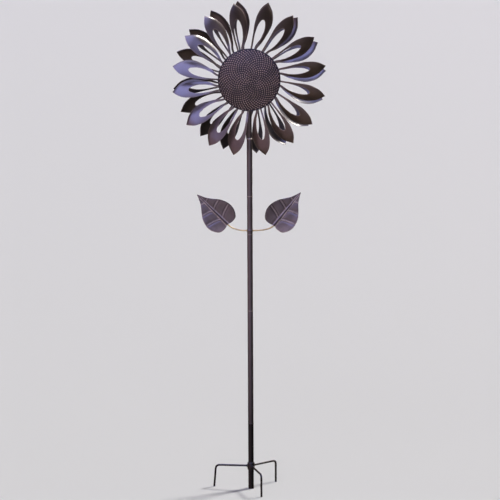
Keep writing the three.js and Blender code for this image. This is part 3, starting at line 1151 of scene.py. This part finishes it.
@dataclass
class Petal:
    """One looped petal: a band of sheet that runs up one leg, over the tip and down the other."""

    disc_radius: float = field(default_factory=lambda: radius_of("seed_disc"))
    wheel_radius: float = 0.305
    root_radius: float = 0.084
    pitch_deg: float = 27.0
    bend_radius: float = 0.120
    twist_length: float = 0.046
    tip_curl: float = 0.008
    curl_start: float = 0.78
    roll_width: float = 0.010
    roll_radius: float = 0.013
    paled: float = 0.8
    rubbed_width: float = 0.0025
    painted_shade: float = 0.8
    root_shade_share: float = 0.16
    left_edge: Profile = ((-24, 0), (-28, 0.32), (-31, 0.6), (-21, 0.84), (0, 1))
    right_edge: Profile = ((0, 0), (17, 0.2), (35, 0.53), (27, 0.8), (0, 1))
    left_opening: Profile = ((-17, 0), (-20.5, 0.3), (-17, 0.5), (-8, 0.625), (0, 0.65))
    right_opening: Profile = ((-8, 0), (6, 0.2), (12.5, 0.42), (8, 0.6), (0, 0.65))
    roots_mm: tuple[float, float, float, float] = (-23, -1, -16, -8)

    def __post_init__(self) -> None:
        """Works the four edges out in metres."""
        profiles = (self.left_edge, self.right_edge, self.left_opening, self.right_opening)
        length = self.wheel_radius - self.disc_radius
        self.edges = [
            [(root / 1000, self.root_radius)]
            + [(x / 1000, self.disc_radius + share * length) for x, share in profile]
            for root, profile in zip(self.roots_mm, profiles)
        ]
        self.clockwise_rim = [spline(self.edges[1], k / 60) for k in range(61)]

    def rim_at(self, radius: float) -> float:
        """Sideways place of the clockwise rim at a radius."""
        for before, after in zip(self.clockwise_rim, self.clockwise_rim[1:]):
            if radius <= after.y:
                share = (radius - before.y) / max(after.y - before.y, 1e-9)
                return before.x + (after.x - before.x) * share
        return 0.0

    def out(self, x: float, radius: float) -> float:
        """How far the sheet stands out of the wheel's plane.

        Args:
            x: sideways distance, clockwise.
            radius: distance from the axle.

        Returns:
            The distance along the axle, away from the pole.
        """
        share = (radius - self.disc_radius) / (self.wheel_radius - self.disc_radius)
        twist = smooth_step(radius, self.disc_radius + 0.001, self.disc_radius + self.twist_length)
        pitch = math.radians(self.pitch_deg)
        lean = x / self.bend_radius + math.sin(pitch)
        curl = self.tip_curl * max(0.0, (share - self.curl_start) / (1 - self.curl_start)) ** 2
        within = max(0.0, self.roll_width - max(0.0, self.rim_at(radius) - x))
        roll = smooth_step(share, 0.15, 0.5) * within**2 / (2 * self.roll_radius)
        return twist * self.bend_radius * (math.sqrt(1 - lean * lean) - math.cos(pitch)) - curl - roll

    def build(self, piece: Piece, side: Side, plane: float, angle_deg: float) -> None:
        """Makes the band.

        Args:
            piece: the piece to add it to.
            side: the wheel.
            plane: the petal roots' distance from the pole's axis.
            angle_deg: the tip's angle, clockwise from the top.
        """
        bmesh.ops.create_grid(piece.bm, x_segments=72, y_segments=14, size=1.0)
        turned = Matrix.Translation(AXLE) @ Matrix.Rotation(math.radians(angle_deg), 4, "Y")
        for vert in piece.bm.verts:
            share = (vert.co.x + 1) / 2
            across = (vert.co.y + 1) / 2
            half = 0 if share <= 0.5 else 1
            along = 2 - 2 * share if half else 2 * share
            outer = spline(self.edges[half], along)
            inner = spline(self.edges[half + 2], along)
            flat = outer.lerp(inner, across)
            width = (outer - inner).length
            edge = min(across, 1 - across) * width
            # Cut edges rubbed paler; painted shade on the legs near the disc.
            painted_shade = self.painted_shade * smooth_step(along, self.root_shade_share, 0.0)
            vert[piece.wear_and_light] = self.paled * (1 - smooth_step(edge, 0.0, self.rubbed_width)) - painted_shade
            place = side.value * (plane + self.out(flat.x, flat.y))
            vert.co = turned @ Vector((flat.x, place, flat.y))


@dataclass
class SeedDisc:
    """Domed disc stamped with seeds in a sunflower's spiral, with a rolled rim."""

    finishes: Finishes
    seed_pitch: float = 0.0046
    seed_radius: float = 0.0031
    seed_height: float = 0.0023
    rim_radius: float = 0.0015
    golden_angle: float = math.pi * (3 - math.sqrt(5))

    def build(self) -> None:
        """Builds the disc and its seeds."""
        low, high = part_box("seed_disc")
        radius = radius_of("seed_disc")
        depth = high.y - low.y - SHEET

        def face(r: float) -> float:
            """Place along Y of the disc's front at a radius."""
            return high.y - SHEET - depth * (1 - (r / radius) ** 2)

        steps = 20
        inside = radius - 2 * self.rim_radius
        front = [(inside * k / steps, face(inside * k / steps)) for k in range(steps + 1)]
        back = [(r, place + SHEET) for r, place in reversed(front)]
        centre = Vector((radius - self.rim_radius, high.y - self.rim_radius))
        angles = [math.radians(-160 + 26 * k) for k in range(11)]
        rolled = [tuple(centre + Vector((math.cos(a), math.sin(a))) * self.rim_radius) for a in angles]
        piece = Piece("seed_face")
        turn(piece.bm, front + rolled + back, AXLE, Axis.AXLE, steps=128)
        count = int(((inside - self.seed_radius * 0.6) / self.seed_pitch) ** 2)
        for index in range(1, count + 1):
            r = self.seed_pitch * math.sqrt(index - 0.5)
            angle = index * self.golden_angle
            slope = math.atan(2 * depth * r / radius**2)
            out = Matrix.Rotation(-angle, 4, "Y") @ Matrix.Translation((r, face(r) + AXLE.y, 0))
            tilt = Matrix.Rotation(slope, 4, "Z")
            size = Vector((self.seed_radius, self.seed_height, self.seed_radius))
            SEED.add(piece.bm, Matrix.Translation(AXLE) @ out @ tilt, size)
        # Painted highlight on the seeds' tops; painted shade between the seeds and on the rolled rim.
        for vert in piece.bm.verts:
            flat = Vector((vert.co.x, 0, vert.co.z - AXLE_HEIGHT)).length
            stands = face(flat) - vert.co.y
            shade_tone = 0.55 * (1 - smooth_step(stands, 0.0, 0.35 * self.seed_height))
            shade_tone = max(shade_tone, smooth_step(flat, inside - self.rim_radius, inside + self.rim_radius))
            vert[piece.wear_and_light] = smooth_step(stands, 0.0007, 0.8 * self.seed_height) - shade_tone
        piece.put("front_wheel", "seed_coat", self.finishes.seed_coat, ["seed_disc"])


@dataclass
class Wheel:
    """One wheel: hub, two ball bearings, plate and sixteen petals."""

    finishes: Finishes
    side: Side
    tip_angle_deg: float
    petal: Petal
    petal_finish: bpy.types.Material
    settings_deg: Sequence[float]
    hub_wall: float = 0.0037
    hub_lip: float = 0.0023
    flange_radius: float = 0.032
    flange_thickness: float = 0.003
    race: float = 0.0022
    shield_recess: float = 0.0005
    shield_lip: float = 0.0004
    bearing_width: float = 0.007
    hub_rounding: float = 0.0005
    hub_weld: float = 0.0015
    hub_weld_rise: float = 0.002
    race_rounding: float = 0.00015
    plate_rounding: float = 0.0006
    weld_start: float = 0.002
    weld_step: float = 0.0036
    weld_rise: float = 0.0004
    weld_size: Vector = field(default_factory=lambda: Vector((0.0013, 0.0009, 0.0023)))

    @property
    def label(self) -> str:
        """The wheel's name in the frame."""
        return self.side.name.lower()

    @property
    def body(self) -> str:
        """The body that the wheel's pieces ride on."""
        return self.label + "_wheel"

    def angle(self, index: int) -> float:
        """A petal's angle in degrees, clockwise from the top."""
        return self.tip_angle_deg + 360 * index / len(self.settings_deg) + self.settings_deg[index]

    def outwards(self, node: str) -> tuple[float, float]:
        """Where a node starts and ends along the axle.

        Args:
            node: the CAD node's name.

        Returns:
            Its nearest and farthest distance from the pole's axis.
        """
        low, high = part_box(node)
        near, far = sorted((abs(low.y), abs(high.y)))
        return near, far

    def turned(self, name: str, profile: Profile, easing: float, steps: int = 64) -> Piece:
        """Starts a piece that is turned about the axle.

        Args:
            name: the piece's name.
            profile: its outline, with places counted outwards from the pole.
            easing: how far its corners are rounded.
            steps: segments of the turn.

        Returns:
            The piece, still open for more.
        """
        piece = Piece(name)
        outline = [(radius, self.side.value * place) for radius, place in eased(profile, easing)]
        turn(piece.bm, outline, AXLE, Axis.AXLE, steps)
        return piece

    def hub(self) -> None:
        """Builds the hub with its flange."""
        start, end = self.outwards(self.label + "_hub")
        plate = self.outwards(self.label + "_plate")[0]
        bore = radius_of(self.label + "_bearing_inner") + GAP
        outer = bore + self.hub_wall
        seat = self.bearing_width + GAP
        lip = bore - self.hub_lip
        flange = plate - GAP
        profile = [
            (bore, start),
            (outer, start),
            (outer, flange - self.flange_thickness),
            (self.flange_radius, flange - self.flange_thickness),
            (self.flange_radius, flange),
            (outer, flange),
            (outer, end),
            (bore, end),
            (bore, end - seat),
            (lip, end - seat),
            (lip, start + seat),
            (bore, start + seat),
        ]
        piece = self.turned(self.label + "_hub_tube", profile, self.hub_rounding)
        for place in (flange - self.flange_thickness, plate + self.hub_weld_rise):
            weld_ring(piece.bm, AXLE, Axis.AXLE, outer, self.side.value * place, self.hub_weld)
        piece.put(self.body, "bronze_coat", self.finishes.bronze_coat, [self.label + "_hub"])

    def bearing(self, which: str) -> None:
        """Builds one shielded ball bearing.

        Args:
            which: inner or outer.
        """
        name = f"{self.label}_bearing_{which}"
        start, end = self.outwards(name)
        outer = radius_of(name)
        bore = BALL_BEARING_BORE + GAP
        inner_race = bore + self.race
        outer_race = outer - self.race
        recess, shield = self.shield_recess, outer_race - self.shield_lip
        # One face from the bore out, as radius and depth below the end of the races.
        face = [
            (bore, 0.0),
            (inner_race, 0.0),
            (inner_race, recess),
            (shield, recess),
            (shield, recess / 2),
            (outer_race, recess / 2),
            (outer_race, 0.0),
            (outer, 0.0),
        ]
        profile = [(r, start + depth) for r, depth in face] + [(r, end - depth) for r, depth in face[::-1]]
        piece = self.turned(name + "_races", profile, self.race_rounding)
        piece.put(self.body, "bearing_steel", self.finishes.bearing_steel, [name])

    def plate(self) -> None:
        """Builds the plate, with a weld on each side of every petal's root."""
        name = self.label + "_plate"
        start, end = self.outwards(name)
        outer = radius_of(name)
        bore = radius_of(self.label + "_bearing_inner") + self.hub_wall + 2 * GAP
        ring = tube(bore, outer, start, end)
        piece = self.turned(name + "_disc", ring, self.plate_rounding, steps=128)
        left, right, left_opening, right_opening = self.petal.roots_mm
        for index in range(len(self.settings_deg)):
            angle = math.radians(self.angle(index))
            turned = Matrix.Translation(AXLE) @ Matrix.Rotation(angle, 4, "Y")
            for root in (left, left_opening, right_opening, right):
                for k in range(4):
                    radius = self.petal.root_radius + self.weld_start + self.weld_step * k
                    spot = Vector((root / 1000, self.side.value * (end + self.weld_rise), radius))
                    WELD_DAB.add(piece.bm, turned @ Matrix.Translation(spot), self.weld_size)
        piece.put(self.body, "bronze_coat", self.finishes.bronze_coat, [name])

    def build(self) -> None:
        """Builds the whole wheel."""
        self.hub()
        for which in ("inner", "outer"):
            self.bearing(which)
        self.plate()
        plane = self.outwards(self.label + "_plate")[1] + GAP + SHEET / 2
        for index in range(len(self.settings_deg)):
            number = f"{index + 1:02d}"
            piece = Piece(f"{self.label}_petal_loop_{number}")
            self.petal.build(piece, self.side, plane, self.angle(index))
            piece.put(
                self.body,
                "petal_coat",
                self.petal_finish,
                [f"{self.label}_petal_{number}"],
                sheet=SHEET,
                edge=SHEET_EDGE,
            )


# ------------------------------------------------------------------ setting


def direction(azimuth_deg: float, elevation_deg: float) -> Vector:
    """Unit vector towards a place in the sky.

    Args:
        azimuth_deg: 0 is straight in front of the flower and 90 to the right of it.
        elevation_deg: 0 is level and 90 straight up.

    Returns:
        The vector.
    """
    azimuth, elevation = math.radians(azimuth_deg), math.radians(elevation_deg)
    level = math.cos(elevation)
    return Vector((math.sin(azimuth) * level, -math.cos(azimuth) * level, math.sin(elevation)))


@dataclass(frozen=True)
class Glow:
    """A soft patch of the studio's dome: its middle, where it starts to fade and where it ends."""

    azimuth_deg: float
    elevation_deg: float
    full_deg: float
    end_deg: float
    strength: float
    colour: str


@dataclass(frozen=True)
class Sun:
    """A distant lamp: where it stands, how wide and strong it is, and whether gloss shows it."""

    name: str
    azimuth_deg: float
    elevation_deg: float
    width_deg: float
    strength: float
    colour: str
    glossy: bool

    def build(self) -> None:
        """Builds the lamp, aimed at the scene's middle."""
        data = bpy.data.lights.new(self.name, "SUN")
        data.energy = self.strength
        data.angle = math.radians(self.width_deg)
        data.color = linear(self.colour)[:3]
        made = link(self.name, data)
        towards = direction(self.azimuth_deg, self.elevation_deg)
        made.rotation_euler = towards.to_track_quat("Z", "Y").to_euler()
        made.visible_glossy = self.glossy


@dataclass
class Setting:
    """Pale floor, soft studio lights and the camera."""

    floor_size: float = 160.0
    backdrop_radius: float = 73.6
    camera_distance: float = 10.0
    camera_height: float = 2.55
    pitch_deg: float = 8.948
    roll_deg: float = 0.274
    lens: float = 182.95
    floor_colour: str = "dfe6e8"
    backdrop_colour: str = "d8d6da"
    surround: str = "b9a796"
    surround_strength: float = 0.14
    glows: tuple[Glow, ...] = (
        Glow(-16.0, 60.0, 14.0, 54.0, 4.3, "b4b6ff"),
        Glow(-60.0, 2.0, 10.0, 50.0, 0.6, "ffc9e0"),
        Glow(-35.0, -40.0, 10.0, 60.0, 0.2, "ffcdb0"),
        Glow(0.0, -6.0, 6.0, 40.0, 0.5, "f0e2ff"),
        Glow(150.0, 26.0, 12.0, 36.0, 2.4, "ffe2e8"),
        Glow(180.0, 70.0, 12.0, 50.0, 1.0, "c8caff"),
    )
    suns: tuple[Sun, ...] = (
        Sun("sun", 125.0, 52.0, 12.0, 2.6, "fff7ee", True),
        Sun("fill", -20.0, 25.0, 60.0, 1.0, "fff4f2", False),
    )

    def floor(self) -> None:
        """Builds the pale floor at the soil line."""
        bm = bmesh.new()
        bmesh.ops.create_grid(bm, x_segments=1, y_segments=1, size=self.floor_size / 2)
        mesh = bpy.data.meshes.new("floor")
        bm.to_mesh(mesh)
        bm.free()
        material = bpy.data.materials.new("floor_paint")
        material.use_nodes = True
        shader = material.node_tree.nodes["Principled BSDF"]
        shader.inputs["Base Color"].default_value = linear(self.floor_colour)
        shader.inputs["Roughness"].default_value = 0.9
        mesh.materials.append(material)
        made = link("floor", mesh)
        made.visible_glossy = False

    def backdrop(self) -> None:
        """Builds the even pale backdrop beyond the floor, which only the camera sees."""
        bm = bmesh.new()
        bmesh.ops.create_uvsphere(bm, u_segments=48, v_segments=24, radius=self.backdrop_radius)
        mesh = bpy.data.meshes.new("backdrop")
        bm.to_mesh(mesh)
        bm.free()
        material, tree = new_material("backdrop_paper")
        paper = add_node(tree, "ShaderNodeEmission", {"Color": linear(self.backdrop_colour)})
        add_node(tree, "ShaderNodeOutputMaterial", {"Surface": paper.outputs[0]})
        mesh.materials.append(material)
        made = link("backdrop", mesh)
        made.visible_diffuse = made.visible_glossy = made.visible_shadow = False

    def lights(self) -> None:
        """Builds the studio's soft dome, a soft sun and a wide fill lamp in front."""
        world = bpy.data.worlds.new("soft_dome")
        world.use_nodes = True
        tree = world.node_tree
        tree.nodes.clear()
        heading = add_node(tree, "ShaderNodeTexCoord").outputs["Generated"]
        even = {"Color": linear(self.surround), "Strength": self.surround_strength}
        light = add_node(tree, "ShaderNodeBackground", even).outputs[0]
        for glow in self.glows:
            aim = {0: heading, 1: direction(glow.azimuth_deg, glow.elevation_deg)}
            near = add_node(tree, "ShaderNodeVectorMath", aim, operation="DOT_PRODUCT").outputs["Value"]
            fade = {
                "Value": near,
                "From Min": math.cos(math.radians(glow.end_deg)),
                "From Max": math.cos(math.radians(glow.full_deg)),
                "To Max": glow.strength,
            }
            patch = add_node(tree, "ShaderNodeMapRange", fade, interpolation_type="SMOOTHSTEP")
            shine = {"Color": linear(glow.colour), "Strength": patch.outputs["Result"]}
            shone = add_node(tree, "ShaderNodeBackground", shine).outputs[0]
            light = add_node(tree, "ShaderNodeAddShader", {0: light, 1: shone}).outputs[0]
        add_node(tree, "ShaderNodeOutputWorld", {"Surface": light})
        world.cycles_visibility.diffuse = False
        bpy.context.scene.world = world
        for sun in self.suns:
            sun.build()

    def camera(self) -> None:
        """Builds the camera, a little above the flower and looking slightly down."""
        data = bpy.data.cameras.new("camera")
        data.lens = self.lens
        data.clip_end = 4 * self.floor_size
        made = link("camera", data)
        turned = Matrix.Rotation(math.radians(90 - self.pitch_deg), 4, "X")
        rolled = Matrix.Rotation(math.radians(-self.roll_deg), 4, "Z")
        place = Matrix.Translation((0, -self.camera_distance, self.camera_height))
        made.matrix_world = place @ turned @ rolled
        bpy.context.scene.camera = made

    def build(self) -> None:
        """Builds the floor, the backdrop, the lights and the camera."""
        self.floor()
        self.backdrop()
        self.lights()
        self.camera()
        bpy.context.scene.view_settings.view_transform = "Standard"


def main() -> None:
    """Builds the setting and the spinner, piece by piece."""
    logging.basicConfig(level=logging.INFO, format="%(message)s")
    finishes = Finishes()
    Setting().build()
    Pole(finishes).build()
    Stake(finishes).build()
    Leaf(finishes, "left", -1, reach=0.088, rise=0.025, angle_deg=45.0).build()
    Leaf(finishes, "right", 1, reach=0.095, rise=0.020, angle_deg=51.0).build()
    Head(finishes).build()
    petal = Petal()
    Wheel(finishes, Side.FRONT, FRONT_TIP_DEG, petal, finishes.petal_coat, FRONT_SETTINGS).build()
    Wheel(finishes, Side.REAR, REAR_TIP_DEG, petal, finishes.rear_shaded_coat, REAR_SETTINGS).build()
    SeedDisc(finishes).build()


if __name__ == "__main__":
    main()
